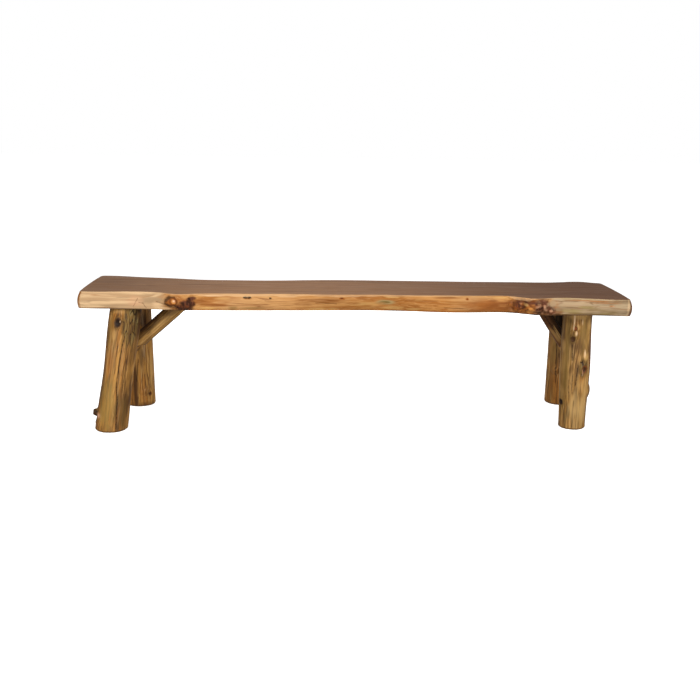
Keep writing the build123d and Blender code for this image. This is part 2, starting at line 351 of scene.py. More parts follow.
# Peeled and varnished log: from red-brown over honey to gold by the log's own hue, with olive and
# umber streaks along the grain, rings that run out in tongues, and rings on the sawn ends.
def peeledLog():
    material, tree, grain, stain, kinds, textures = newWood("peeled_log", logFinish)
    redder, yellower = stepNode(tree, kinds[2], 0.5, 0.0), stepNode(tree, kinds[2], 0.5, 1.0)
    light = mixColour(tree, yellower, logFinish["honey"], logFinish["gold"])
    shade = mixColour(tree, yellower, logFinish["amber"], logFinish["goldShade"])
    colour = mixColour(tree, stepNode(tree, textures["broad"], 0.38, 0.6), shade, light)
    colour = mixColour(tree, redder, colour, logFinish["deep"])
    colour = layTones(tree, colour, textures, logFinish["layers"], logFinish)
    lines = grainLines(tree, grain, *logFinish["lines"])
    for dark in (lines, grainLines(tree, grain, *logFinish["hairs"])):
        colour = mixColour(tree, dark, colour, logFinish["umber"])
    late = stepNode(tree, textures["rings"], 0.55, 0.98)
    relief = ((late, -0.25), (lines, -1.0))
    finishWood(tree, colour, logFinish["sawn"], stain, kinds, textures, relief, logFinish)
    return material


slabFinish = {
    "goldLight": (0.462, 0.215, 0.064),
    "goldDark": (0.315, 0.115, 0.024),
    "goldStreak": (0.215, 0.07, 0.013),
    "goldFleck": (0.68, 0.37, 0.14),
    # sapwood: dark, light and grey
    "sapLeft": ((0.395, 0.246, 0.127), (0.578, 0.388, 0.213), (0.31, 0.2, 0.11)),
    "sapRight": ((0.2, 0.138, 0.076), (0.375, 0.272, 0.163), (0.115, 0.08, 0.043)),
    "faceLeft": (0.25, 0.133, 0.07),
    "faceMiddle": (0.4, 0.214, 0.115),
    "faceRight": (0.162, 0.079, 0.042),
    "faceLight": (0.4, 0.232, 0.135),
    "faceLightRight": (0.23, 0.124, 0.068),
    "faceDark": (0.115, 0.055, 0.029),
    "sawnLeft": (0.22, 0.09, 0.027),
    "sawnRight": (0.12, 0.056, 0.027),
    "sawnRing": (0.12, 0.042, 0.012),
    "textures": {
        "patch": (14.0, 3.0, 3.0, 0.6),
        "broad": (34.0, 2.0, 4.0, 0.8),
        "streak": (120.0, 5.0, 5.0, 1.2),
        "fine": (520.0, 16.0, 3.0, 0.2),
    },
    "goldLayers": (
        ("patch", 0.46, 0.34, 0.6, "goldDark"),
        ("streak", 0.5, 0.34, 0.8, "goldStreak"),
        ("fine", 0.5, 0.66, 0.35, "goldFleck"),
    ),
    "sapLayers": (("streak", 0.5, 0.32, 0.7, "grey"),),
    "faceLayers": (
        ("patch", 0.52, 0.68, 0.36, "light"),
        ("streak", 0.52, 0.68, 0.44, "light"),
        ("broad", 0.5, 0.34, 0.42, "faceDark"),
        ("rings", 0.5, 0.98, 0.2, "faceDark"),
        ("fine", 0.46, 0.32, 0.4, "faceDark"),
    ),
    "endLayers": (("rings", 0.5, 0.98, 0.6, "sawnRing"),),
    "lines": (45.0, 2.2, 0.025, 0.4),
    "ringSpacing": 0.0055,
    "ringSway": 0.05,
    "gloss": 0.04,
    "roughness": (0.36, 0.6),
    "bump": 0.3,
}


# The slab: a brown oiled face with faint lengthwise figure, golden natural edges with cream
# sapwood towards the ends, and darker end grain.
def slabWood():
    finish = slabFinish
    material, tree, grain, stain, kinds, textures = newWood("slab", finish)
    place = addNode(tree, "TexCoord", {}).outputs["Object"]
    run = addNode(tree, "SeparateXYZ", {0: place}).outputs[0]

    # natural edge
    share = stepNode(tree, textures["broad"], 0.38, 0.58)
    gold = mixColour(tree, share, finish["goldDark"], finish["goldLight"])
    gold = layTones(tree, gold, textures, finish["goldLayers"], finish)
    sides = []
    for dark, light, grey in (finish["sapLeft"], finish["sapRight"]):
        side = mixColour(tree, stepNode(tree, textures["broad"], 0.35, 0.6), dark, light)
        sides.append(layTones(tree, side, textures, finish["sapLayers"], {"grey": grey}))
    sap = mixColour(tree, stepNode(tree, run, -0.3, 0.5), *sides)
    edge = mixColour(tree, kinds[2], gold, sap)
    edge = mixColour(tree, grainLines(tree, grain, *finish["lines"]), edge, finish["goldStreak"])

    # sawn faces
    face = mixColour(tree, stepNode(tree, run, -0.9, -0.3), finish["faceLeft"], finish["faceMiddle"])
    rightward = stepNode(tree, run, -0.2, 0.88)
    face = mixColour(tree, rightward, face, finish["faceRight"])
    light = mixColour(tree, rightward, finish["faceLight"], finish["faceLightRight"])
    face = layTones(tree, face, textures, finish["faceLayers"], {**finish, "light": light})

    colour = mixColour(tree, kinds[0], edge, face)
    sawn = mixColour(tree, stepNode(tree, run, -0.3, 0.3), finish["sawnLeft"], finish["sawnRight"])
    late = stepNode(tree, textures["rings"], 0.5, 0.98)
    finishWood(tree, colour, sawn, stain, kinds, textures, ((late, -0.2),), finish)
    return material


slab = {
    "spineShort": 0.16,  # how far the spine stops short of each end
    "columnGap": 0.0024,  # along the natural edges
    "endGap": 0.003,  # round the ends
    "edgeRows": 32,
    "arris": 0.0025,
    "innerClear": 0.125,  # mortises lie nearer to the spine than this
    "cutSteps": 12,  # points along each triangle that a level cut crosses
    "endSamples": 3000,  # along the outline of each end
    "heart": (0.01, 0.385),  # across and height of the heart of the log
    # millimetres and percent from here on
    "ripple": 1.1,
    "fibre": 0.35,
    "burlRelief": 3.6,
    "scarDepth": 1.2,
    "knotRim": 1.0,
    "crackDepth": 1.4,
    "crestBlur": 1.2,
    "crestShare": 34,
    "barkAndShadeHeight": 3.4,
    # share of cream sapwood along the bench
    "sap": (
        (-930, 100), (-645, 100), (-620, 20), (-500, 0), (-420, 25), (-300, 20), (-100, 5), (300, 0),
        (400, 25), (520, 0), (640, 0), (670, 90), (930, 100),
    ),
    # how deep the pale band under the upper arris reaches along the bench
    "crest": (
        (-930, 1), (-720, 0.5), (-700, -1.2), (-620, -1.2), (-540, 0.5), (-490, 6), (-200, 6),
        (-150, 2.5), (-70, 4.5), (100, 5), (160, 1.6), (340, 1.6), (370, -1.2), (515, -1.2), (535, 6),
        (570, 6), (600, -1.2), (930, -1.2),
    ),
    # strength along the bench of the brown line over the lower arris: partly bark, partly painted shade
    "barkAndShade": (
        (-930, 30), (-850, 80), (-700, 40), (-640, 10), (-600, 85), (-585, 90), (-570, 10), (-545, 60),
        (-510, 0), (-430, 20), (-410, 65), (-390, 15), (-30, 10), (0, 50), (50, 50), (90, 10), (130, 85),
        (170, 40), (210, 0), (300, 40), (330, 0), (390, 40), (530, 85), (555, 35), (585, 80), (600, 90),
        (630, 90), (650, 60), (670, 95), (710, 85), (760, 70), (850, 75), (890, 30), (930, 0),
    ),
    # darker and lighter stretches of the front edge: place along, height, half run, half height,
    # tone and share
    "shades": (
        (-668, 438.5, 40, 7, "slate", 95), (-692, 432, 34, 9.5, "slate", 100),
        (-655, 421.5, 26, 9, "cream", 70), (-640, 408, 36, 6.5, "cream", 80),
        (-820, 416, 80, 6, "slate", 50), (-730, 430, 30, 20, "rose", 40),
        (-582, 440, 24, 22, "russet", 75), (-512, 434, 36, 11, "rust", 45),
        (-460, 427, 60, 13, "russet", 50), (-487, 411, 34, 6, "straw", 60),
        (-460, 421, 60, 4.5, "rust", 50), (-320, 411, 130, 10, "rust", 16),
        (-903, 426, 22, 20, "cream", 25), (-880, 409.5, 60, 6, "cream", 60),
        (-440, 444, 34, 5, "straw", 45), (-702, 450, 34, 6, "slate", 50),
        (-475, 453, 42, 4, "cream", 55), (-405, 413, 20, 8, "olive", 50),
        (-340, 413, 60, 6, "olive", 45), (-355, 444, 22, 4.5, "russet", 60),
        (-170, 427, 42, 8, "rust", 45), (-100, 440, 85, 10, "rust", 48), (-110, 408, 70, 8, "straw", 50),
        (30, 445, 25, 4, "rust", 40), (45, 426, 45, 13, "straw", 50), (125, 452.5, 30, 4, "straw", 60),
        (125, 415.5, 45, 8, "straw", 50), (200, 412, 30, 5.5, "straw", 50),
        (215, 444, 16, 4.5, "straw", 45), (330, 437, 50, 5, "straw", 30),
        (300, 412, 18, 5.5, "russet", 70), (310, 453, 60, 5, "rust", 60),
        (450, 428, 85, 26, "russet", 75), (465, 444, 22, 5, "rust", 55), (420, 412, 45, 5.5, "rust", 55),
        (480, 424, 65, 20, "rust", 60), (490, 453.5, 36, 3.4, "straw", 70),
        (525, 429, 50, 22, "rust", 55), (104, 435.5, 36, 10, "lichen", 90),
        (102, 435, 23, 5, "sage", 95), (108, 435, 12, 1.6, "olive", 80), (535, 436, 34, 14, "rust", 60),
        (600, 451, 32, 8, "plum", 60), (675, 415, 22, 11, "rust", 80), (668, 445, 26, 10, "plum", 65),
        (705, 404.5, 24, 4, "umber", 70), (855, 415, 30, 9, "sage", 50), (733, 412, 30, 5, "sage", 55),
        (785, 430, 35, 8, "sage", 50), (835, 411, 55, 8, "sage", 50), (672, 435, 12, 20, "russet", 40),
        (690, 436, 40, 7, "ash", 60), (735, 459, 90, 3.5, "moss", 85), (725, 419, 45, 8, "moss", 80),
        (770, 431, 30, 5.5, "moss", 80), (808, 420, 38, 8.5, "sage", 60), (830, 411, 35, 4, "moss", 70),
        (730, 408, 60, 6, "olive", 45), (790, 452.5, 85, 3, "russet", 75),
        (840, 447, 60, 2.2, "russet", 60), (852, 438.5, 12, 3.2, "russet", 80),
        (858, 437.5, 6, 1.8, "rose", 90), (908, 432, 5, 30, "cream", 45), (800, 416, 70, 5, "ash", 60),
    ),
    # burls: place along, height, half run, half height and the tone under their figure
    "burls": (
        (556, 430, 40, 30, "russet"), (600, 416, 22, 16, "rust"), (622, 434, 29, 34, "mauve"),
        (650, 418, 20, 20, "mauve"),
    ),
    # single marks in the burls, given as the shades are
    "marks": (
        (552, 445.5, 13, 5, "plum", 80), (580, 447.5, 23, 5, "plum", 85),
        (584, 453, 12, 3.5, "rust", 80), (535, 426, 14, 6, "rust", 80), (565, 405, 18, 3, "flame", 80),
        (584, 416, 13, 11, "flame", 75), (579, 429, 7, 5.5, "flame", 90),
        (572, 435.5, 5, 4, "flame", 70), (604, 406, 8, 3.5, "umber", 90), (613, 412, 8, 8, "umber", 70),
        (604, 435.5, 10, 3.2, "rose", 50), (640, 416, 7, 8, "umber", 80), (645, 433, 5, 8, "plum", 60),
        (629, 433, 4.5, 5.5, "rose", 55), (630, 415, 8, 9, "umber", 80),
        (652, 418.5, 6, 3.5, "rose", 60), (657, 442, 15, 10, "ash", 80), (582, 437, 34, 5.5, "rust", 55),
        (622, 420, 12, 6, "umber", 55), (560, 404, 60, 2.6, "umber", 55), (566, 440, 6, 5, "straw", 45),
        # The umber mark at 697, 404 is painted shadow on the lower edge where the front right leg meets
        # the slab.
        (672, 407, 15, 4, "umber", 80), (697, 404, 25, 3.5, "umber", 85),
    ),
    # scars: bark grown into the edge, place along, height, half run, half height
    "scars": (
        (-566, 413.5, 30, 14), (-554, 427.5, 23, 15), (-541, 444, 17, 8), (544, 433.5, 10, 8.5),
        (597, 442, 5, 5), (610, 426, 11, 5), (620, 426, 5.5, 11),
    ),
    # knots: place along, height, half run, half height, core, rim, how deep the core is sunk
    "knots": (
        (-608, 435, 23.5, 18, "russet", "umber", 0.6), (-600, 436, 14, 12.5, "flame", "rust", 0.2),
        (-597.5, 437.5, 5, 4.5, "cream", "rose", 0.2), (-364, 448, 7.5, 4, "pitch", "umber", 1.5),
        (-350, 448, 6.5, 4, "pitch", "umber", 1.5), (-357, 447.6, 7, 2.6, "umber", "umber", 0.6),
        (-281, 446, 4.5, 2.5, "umber", "umber", 0.8), (-43, 447, 10, 4.5, "rust", "russet", 2.5),
        (377, 449, 6, 4, "rust", "russet", 0.8),
    ),
    # cracks in the front edge: place along and height of both ends, width
    "cracks": (
        (-722, 440, -738, 410, 1.1), (-706, 424, -694, 408, 1.2), (-660, 431, -628, 421, 1.4),
        (-720, 426, -700, 423, 1), (-130, 431, -60, 428, 1.3), (300, 419, 380, 416, 1.2),
    ),
}
slabLow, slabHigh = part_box("seat_slab")
spine = slabHigh.x - slab["spineShort"]


# Where a point lies round the slab, and how far from the spine: 0 to 1 along the front, on to 2
# round the right end, 3 along the back and 4 round the left end.
def slabTurn(place):
    x, y = place[..., 0], place[..., 1]
    run = (x + spine) / (2 * spine)
    right = 1.5 + np.arctan2(y, x - spine) / pi
    left = 3.5 + np.arctan2(-y, -spine - x) / pi
    turn = np.where(y < 0, run, 3 - run)
    turn = np.where(x > spine, right, np.where(x < -spine, left, turn))
    return turn, np.hypot(x - np.clip(x, -spine, spine), y)


# The spine's point and the outward direction at each turn. Along the front and the back the point
# moves and the direction is square to the spine; at the ends the point stays while the direction
# swings half round.
def slabSpokes(turn):
    quarter = np.minimum(turn.astype(int), 3)
    part = turn - quarter
    still = 0 * part
    run = spine * (2 * part - 1)
    foot = np.choose(quarter, [run, still + spine, -run, still - spine])
    angle = np.choose(quarter, [still - pi / 2, pi * (part - 0.5), still + pi / 2, pi * (part + 0.5)])
    return np.stack([foot, still], axis=-1), np.stack([np.cos(angle), np.sin(angle)], axis=-1)


# Columns: even steps along the front and the back, and even steps along the skin at the ends.
def slabColumns(midTurn, midReach):
    straight = np.arange(0, 1, slab["columnGap"] / (2 * spine))
    columns = []
    for start in (1, 3):
        fine = np.linspace(start, start + 1, slab["endSamples"])
        reach = reachRound(midTurn, midReach, slab["innerClear"], fine, 4)
        feet, outward = slabSpokes(fine)
        outline = feet + outward * reach[:, None]
        length = np.concatenate([[0], np.cumsum(np.hypot(*np.diff(outline, axis=0).T))])
        steps = np.linspace(0, length[-1], int(length[-1] / slab["endGap"]), endpoint=False)
        columns += [straight + start - 1, np.interp(steps, length, fine)]
    return np.concatenate(columns)


# Distance from the middle of an oval, in shares of its half run and half height.
def ovalAway(along, level, middle, height, halfRun, halfHeight):
    return np.hypot((along - middle) / halfRun, (level - height) / halfHeight)


# Relief and stains of the slab's edge, and the height of its grain lines, in millimetres: ripples
# and fibres by noise, and each shade, burl, scar, knot and crack by its distance from the point.
def dressEdge(place):
    along, level = 1000 * place[..., 0], 1000 * place[..., 2]
    front = place[..., 1] < 0
    wobble = softNoise(place, (45, 45, 6), 21)
    lumps = softNoise(place, (12.5, 12.5, 10.5), 14)
    spots = softNoise(place, (14, 14, 9), 16)
    dashes = softNoise(place, (4.2, 4.2, 11), 24)
    relief = slab["ripple"] * softNoise(place, (85, 85, 22), 11)
    relief += 0.5 * slab["ripple"] * softNoise(place, (30, 30, 12), 12)
    relief += slab["fibre"] * softNoise(place, (20, 20, 3.5), 13)
    toEnd = 1000 * slabHigh.x - abs(along)
    relief *= 1 - 0.75 * ramp(toEnd, 50, 25)

    stain = np.zeros(along.shape + (4,))
    for *oval, tone, share in slab["shades"]:
        away = ovalAway(along, level, *oval) + 0.35 * wobble
        held = ramp(away, 1.15, 0.35) * ramp(wobble, -0.9, -0.1)
        layStain(stain, tone, share / 100 * held * front)
    for *oval, tone in slab["burls"]:
        held = ramp(ovalAway(along, level, *oval) + 0.25 * spots, 1.25, 0.45) * front
        relief += held * slab["burlRelief"] * (0.7 * lumps + 0.4 * softNoise(place, 5.5, 15))
        layStain(stain, tone, 0.85 * held)
        layStain(stain, "rust", 0.75 * held * ramp(spots, -0.05, 0.4))
        layStain(stain, "plum", 0.8 * held * ramp(spots, 0.12, 0.42))
        layStain(stain, "umber", 0.85 * held * ramp(abs(lumps), 0.16, 0.02))
        layStain(stain, "rose", 0.28 * held * ramp(lumps, 0.4, 0.75))
    for oval in slab["scars"]:
        held = ramp(ovalAway(along, level, *oval) + 0.3 * spots, 1.25, 0.55) * front
        relief -= held * slab["scarDepth"] * (1 + dashes)
        layStain(stain, "rust", 0.9 * held)
        layStain(stain, "plum", 0.9 * held * ramp(dashes, -0.75, -0.3))
        layStain(stain, "pitch", 0.75 * held * ramp(dashes, -0.1, 0.3))
    for *oval, tone, share in slab["marks"]:
        away = ovalAway(along, level, *oval) + 0.35 * lumps
        layStain(stain, tone, share / 100 * ramp(away, 1.3, 0.5) * front)

    across = level.copy()
    broken = ramp(softNoise(place, (6, 6, 5), 25), -0.45, 0.05)
    rough = 0.16 * softNoise(place, 6, 18)
    for *oval, core, rim, sunk in slab["knots"]:
        away = np.where(front, ovalAway(along, level, *oval) + rough, 9.0)
        across -= grainShift(level - oval[1], away)
        layStain(stain, rim, 0.9 * ramp(away, 1.15, 0.85))
        layStain(stain, core, 0.95 * ramp(away, 0.76, 0.5))
        layStain(stain, rim, 0.8 * ramp(abs(away - 0.6), 0.15, 0.05) * broken)
        relief += slab["knotRim"] * ramp(abs(away - 0.85), 0.25, 0.0) - sunk * ramp(away, 0.65, 0.2)
    for startRun, startHeight, endRun, endHeight, width in slab["cracks"]:
        run, rise = endRun - startRun, endHeight - startHeight
        part = ((along - startRun) * run + (level - startHeight) * rise) / (run * run + rise * rise)
        held = np.clip(part, 0, 1)
        away = np.hypot(along - startRun - held * run, level - startHeight - held * rise)
        split = ramp(away + 0.4 * wobble, width, 0.3 * width) * front
        relief -= slab["crackDepth"] * split
        layStain(stain, "umber", 0.85 * split)
    return relief, stain, across


# Skin of the slab: spine point plus outward direction times the sum of the relief and the reach
# that the frame has at that turn and height. Over and under it the rows close in to the spine.
def slabGrid():
    skin = skinOf("seat_slab")
    arris = slab["arris"]
    heights = np.linspace(slabHigh.z - arris, slabLow.z + arris, slab["edgeRows"])
    turn, reach = slabTurn(levelCut(skin, (slabLow.z + slabHigh.z) / 2, slab["cutSteps"]))
    columns = slabColumns(turn, reach)
    feet, outward = slabSpokes(columns)
    rows = []
    for height in heights:
        turn, reach = slabTurn(levelCut(skin, height, slab["cutSteps"]))
        rows.append(reachRound(turn, reach, slab["innerClear"], columns, 4))
    reach = np.array(rows)
    place = np.empty(reach.shape + (3,))
    place[..., :2] = feet + outward * reach[..., None]
    place[..., 2] = heights[:, None]
    relief, stain, across = dressEdge(place)
    reach += relief / 1000

    # rows over and under: share of the way out to the skin, inset, height, and the edge row used
    over = [(share, arris, slabHigh.z, 0) for share in (0.0, 0.25, 0.5, 0.75, 0.92, 0.985)]
    for bend in np.linspace(pi / 2, 0, 5)[:-1]:
        over.append((1.0, arris * (1 - np.cos(bend)), slabHigh.z - arris * (1 - np.sin(bend)), 0))
    both = slabLow.z + slabHigh.z
    under = [(share, inset, both - height, -1) for share, inset, height, row in over[::-1]]
    count = len(over)
    grid = np.empty((reach.shape[0] + 2 * count, len(columns), 3))
    for spot, (share, inset, height, row) in zip([*range(count), *range(-count, 0)], over + under):
        grid[spot, :, :2] = feet + outward * (share * (reach[row] - inset))[:, None]
        grid[spot, :, 2] = height
    grid[count:-count, :, :2] = feet + outward * reach[..., None]
    grid[count:-count, :, 2] = heights[:, None]
    return grid, across / 1000, stain, count


# The first and last edge rows are repeated for the rows over and under the slab.
def spreadRows(values, count):
    return np.concatenate([np.repeat(values[:1], count, 0), values, np.repeat(values[-1:], count, 0)])


# The slab's piece. Its grain height is the point's own height plus the shift round knots. On the
# sawn faces the shift and the stains are the nearest edge row's, times a fade towards the spine,
# the eighth power of the row's share of the way out.
def buildSlab():
    grid, across, stain, count = slabGrid()
    fade = np.ones(len(grid))
    fade[:count] = np.linspace(0, 1, count) ** 8
    fade[-count:] = np.linspace(1, 0, count) ** 8
    parted = spreadRows(across - grid[count:-count, :, 2], count)
    across = grid[..., 2] + parted * fade[:, None]
    stain = spreadRows(stain, count)
    stain[..., 3] *= fade[:, None]

    # pale band under the upper arris, brown line along the lower one: partly bark, partly painted shade
    middle = grid[len(grid) // 2]
    step = np.roll(middle, -1, axis=0) - np.roll(middle, 1, axis=0)
    endFacing = ramp(abs(step[:, 1]) / np.hypot(step[:, 0], step[:, 1]), 0.25, 0.5)
    endFacing *= ramp(abs(middle[:, 0]), slabHigh.x - 0.06, slabHigh.x - 0.03)
    edge = np.zeros(len(grid))
    edge[count - 3:-count + 3] = 1
    edge = edge[:, None] * (1 - endFacing)
    mottle = softNoise(grid, (30, 30, 10), 19)
    along = 1000 * grid[..., 0]
    crest = np.interp(along, *zip(*slab["crest"])) * (1 + 0.6 * mottle)
    depth = 1000 * (slabHigh.z - slab["arris"] - grid[..., 2])
    shown = edge * ramp(depth, crest + slab["crestBlur"], crest - slab["crestBlur"])
    layStain(stain, "cream", slab["crestShare"] / 100 * shown)
    # The brown line over the lower arris is partly bark left on the edge and partly painted shade along
    # the underside.
    rise = 1000 * (grid[..., 2] - slabLow.z - slab["arris"])
    barkAndShade = np.interp(along, *zip(*slab["barkAndShade"])) / 100
    layStain(stain, "umber", barkAndShade * edge * ramp(rise, slab["barkAndShadeHeight"] + 0.8 * mottle, 0))

    grain = np.stack([grid[..., 1] - slab["heart"][0], across - slab["heart"][1], grid[..., 0]], axis=-1)
    faces = np.zeros(grid.shape)
    faces[:count - 2, :, 0] = 1
    faces[-count + 2:, :, 0] = 1
    faces[count - 1:-count + 1, :, 1] = endFacing
    waver = 20 * softNoise(grid, (60, 60, 12), 20)
    faces[..., 2] = np.interp(along + waver, *zip(*slab["sap"])) / 100
    makePiece("slab_wood", grid, (grain, stain, faces), slabMaterial, "seat_slab")


logs = {
    "columnGap": 0.0014,
    "rowGap": 0.0021,
    "chamfer": 0.004,
    "mortiseShare": 0.88,  # points nearer than this share of the girth are joint walls
    "footRim": 0.004,  # height of the dark rim at the foot
    # millimetres from here on
    "facet": 1.0,  # drawknife flats
    "groove": 0.7,  # lengthwise hollows
    "roughDepth": 2.4,
    "rimHeight": 1.4,
}
# Some patches are painted shade or painted light; the comments over them say which.
# Hue runs from 0, red-brown, over 0.5, honey, to 1, gold.
# Patches: height, bearing in degrees, half height, half width, tone, share.
# Knots: height, bearing, half height, half width, core, rim, how deep the core sinks.
# Flecks are patches laid over the knots.
# Checks: heights and bearings of both ends, width, depth.
# Rough: height, bearing, half height and half width of a patch where bark ridges were left.
legs = {
    "front_left": {
        "seed": 31,
        "hue": 0.5,
        "patches": (
            # Painted shade: the umber and pitch patches at bearings 310 to 350 darken the right side,
            # towards the bench's middle, and the top beside the brace and under the slab, where shade
            # falls.
            (90, 322, 110, 30, "umber", 50), (370, 326, 45, 20, "umber", 75),
            (230, 206, 300, 18, "umber", 70), (392, 345, 24, 35, "pitch", 85),
            (240, 335, 40, 34, "umber", 45), (120, 350, 50, 26, "umber", 70),
            (340, 350, 60, 24, "umber", 90), (75, 310, 75, 34, "umber", 45),
            (12, 250, 16, 80, "umber", 22), (235, 256, 115, 11, "straw", 22),
            (60, 282, 60, 12, "umber", 25), (230, 236, 60, 16, "russet", 35),
            # The straw patch at 396, 257 is painted light that lifts the slab's shadow off the top of
            # the leg.
            (320, 248, 25, 14, "straw", 30), (396, 257, 14, 40, "straw", 35),
            (90, 253, 100, 34, "mustard", 60), (60, 312, 60, 18, "mustard", 20),
            (345, 303, 55, 22, "russet", 35), (250, 298, 60, 18, "rust", 16),
            (230, 248, 70, 14, "rust", 14), (130, 240, 100, 22, "umber", 16),
            (50, 316, 70, 20, "umber", 30), (268, 345, 40, 20, "umber", 35),
        ),
        "knots": (
            (355.5, 259, 17.5, 12.5, "pitch", "umber", 2), (48.5, 192, 21, 20, "umber", "pitch", 1),
        ),
        # The cream fleck at 359.5, 267 is a painted highlight on the glossy eye knot.
        "flecks": ((359.5, 267, 4.8, 2.6, "cream", 85), (51, 217, 11, 12, "rose", 70)),
        "checks": (
            (335, 288, 165, 278, 3.4, 4), (180, 277, 4, 299, 4, 6), (300, 268, 180, 266, 1.2, 1),
            (395, 322, 250, 326, 3, 3), (250, 308, 120, 304, 1.8, 2),
        ),
        "rough": ((352, 306, 78, 32),),
    },
    "front_right": {
        "seed": 47,
        "hue": 0.78,
        "patches": (
            # Painted shade: the olive patch at 240, 218 darkens the left side, towards the bench's
            # middle, and the umber patch at 398, 214 is the slab's shadow painted on the top of the leg.
            (240, 218, 200, 20, "olive", 60), (398, 214, 12, 40, "umber", 60),
            (200, 340, 300, 22, "umber", 70), (280, 325, 60, 18, "umber", 75),
            (320, 282, 60, 22, "olive", 70), (300, 242, 34, 14, "umber", 55),
            (200, 290, 40, 14, "russet", 60), (198, 288, 30, 16, "umber", 45),
            (250, 300, 16, 14, "straw", 60), (215, 266, 40, 9, "umber", 70),
            (310, 192, 75, 24, "umber", 50), (285, 268, 45, 12, "umber", 45),
            (290, 282, 50, 12, "umber", 30), (85, 260, 45, 22, "straw", 45),
            (352, 260, 12, 9, "straw", 50), (206, 280, 18, 10, "umber", 70),
            (75, 300, 60, 22, "straw", 45), (155, 300, 35, 24, "straw", 30),
            (365, 312, 22, 14, "straw", 60), (58, 236, 22, 9, "umber", 45),
            # The straw patch at 388, 262 is painted light that lifts the slab's shadow off the top of
            # the leg.
            (120, 202, 30, 20, "straw", 20), (388, 262, 14, 50, "straw", 60),
            (230, 202, 50, 14, "straw", 15), (65, 280, 80, 50, "lichen", 28),
            # The umber patch at 407, 262 is painted shadow in a line under the slab.
            (407, 262, 11, 80, "umber", 62), (260, 334, 150, 14, "rust", 60),
            (150, 245, 60, 12, "straw", 28), (140, 268, 80, 12, "umber", 25),
            (285, 199, 25, 14, "straw", 35), (375, 213, 30, 35, "umber", 32),
        ),
        "knots": (
            (311, 243, 11, 8.5, "umber", "umber", 2), (347, 250, 8, 7, "rust", "umber", 1),
            (209, 294, 13.5, 10.5, "umber", "rust", 2.5), (90, 199, 11, 12, "pitch", "umber", 4),
        ),
        "flecks": (
            (376, 245, 24, 4, "cream", 85), (350, 243, 12, 3, "cream", 60),
            (331, 255, 10, 4.5, "cream", 75), (369, 276, 12, 4, "cream", 50),
            (261, 294, 17, 5, "cream", 85), (200, 288, 12, 3, "rose", 50),
        ),
        "checks": (
            (300, 242, 235, 243, 3, 3), (215, 236, 110, 238, 1.2, 2), (200, 250, 120, 252, 1.8, 2),
            (110, 258, 4, 256, 1.6, 2), (230, 266, 150, 264, 3, 3),
        ),
        "rough": ((215, 290, 34, 16),),
    },
    "rear_left": {
        "seed": 59,
        "hue": 0.42,
        "patches": (
            # Painted shadow: the umber patch at 85, 262 is the front leg's shadow on the lower front,
            # and the pitch patch at 325, 296 and the umber one at 345, 313 darken the top where the slab
            # and the brace shade it.
            (85, 262, 120, 11, "umber", 90), (200, 8, 300, 12, "olive", 50),
            (325, 296, 32, 22, "pitch", 97), (345, 313, 60, 18, "umber", 50),
            (270, 300, 100, 8, "cream", 30), (140, 334, 80, 16, "straw", 45),
            (180, 290, 70, 8, "straw", 35), (60, 304, 26, 14, "umber", 40),
            (6, 290, 14, 60, "umber", 50), (185, 290, 50, 8, "umber", 60),
        ),
        "knots": ((47, 319, 7, 7, "umber", "rust", 1.5),),
        "checks": (
            (390, 285, 230, 281, 4, 4), (240, 322, 60, 326, 2.2, 3), (190, 275, 90, 268, 2.6, 3),
            (130, 300, 70, 304, 2, 2),
        ),
        "rough": ((270, 276, 40, 12),),
    },
    "rear_right": {
        "seed": 73,
        "hue": 0.34,
        "patches": (
            (200, 220, 180, 14, "olive", 50), (200, 250, 100, 12, "umber", 60),
            # The pitch patch at 340, 242 is painted shadow on the top, where the slab, the brace and the
            # front leg shade it.
            (340, 242, 45, 50, "pitch", 97), (210, 230, 120, 16, "straw", 18),
            (235, 202, 55, 22, "straw", 22), (160, 188, 25, 14, "straw", 35),
            (110, 222, 70, 14, "russet", 35),
        ),
        "checks": ((330, 262, 30, 266, 5, 5), (300, 232, 80, 238, 3.6, 3)),
    },
}
braces = {
    "left": {
        "seed": 83,
        "hue": 0.7,
        "patches": (
            # Painted shade: the umber patches at 330, 196 and 320, 216 darken the upper side under the
            # slab, and the one at 300, 244 is painted shadow beside the front leg.
            (330, 196, 150, 18, "umber", 85), (300, 350, 100, 14, "umber", 60),
            (345, 285, 80, 10, "straw", 45), (300, 244, 40, 10, "umber", 50),
            (320, 216, 50, 18, "umber", 90), (376, 264, 20, 22, "umber", 45),
        ),
        "checks": ((380, 240, 300, 244, 2, 2),),
    },
    "right": {
        "seed": 97,
        "hue": 0.15,
        "patches": (
            # Painted shade: the rust and umber patches at 350, 262 darken the brace's front as in the
            # slab's shade, and the pitch patches at 340, 335 and 310, 315 are painted shadow on its
            # upper front side.
            (350, 262, 130, 60, "rust", 60), (350, 262, 130, 60, "umber", 62),
            (340, 335, 150, 28, "pitch", 85), (300, 280, 45, 14, "pitch", 95),
            (310, 315, 50, 20, "pitch", 85), (350, 292, 50, 18, "umber", 70),
            (295, 236, 30, 12, "straw", 40),
        ),
        "flecks": ((300, 262, 30, 2.2, "straw", 60), (310, 274, 30, 2.2, "straw", 60)),
        "checks": ((380, 250, 300, 254, 3, 3),),
    },
}
slabUnder = slabLow.z
tenon = {"girth": 0.05, "length": 0.042, "chamfer": 0.002}


# Centre of a level cut from the middles of its extremes.
def cutCentre(skin, height):
    cut = levelCut(skin, height)
    return (cut.min(0) + cut.max(0)) / 2


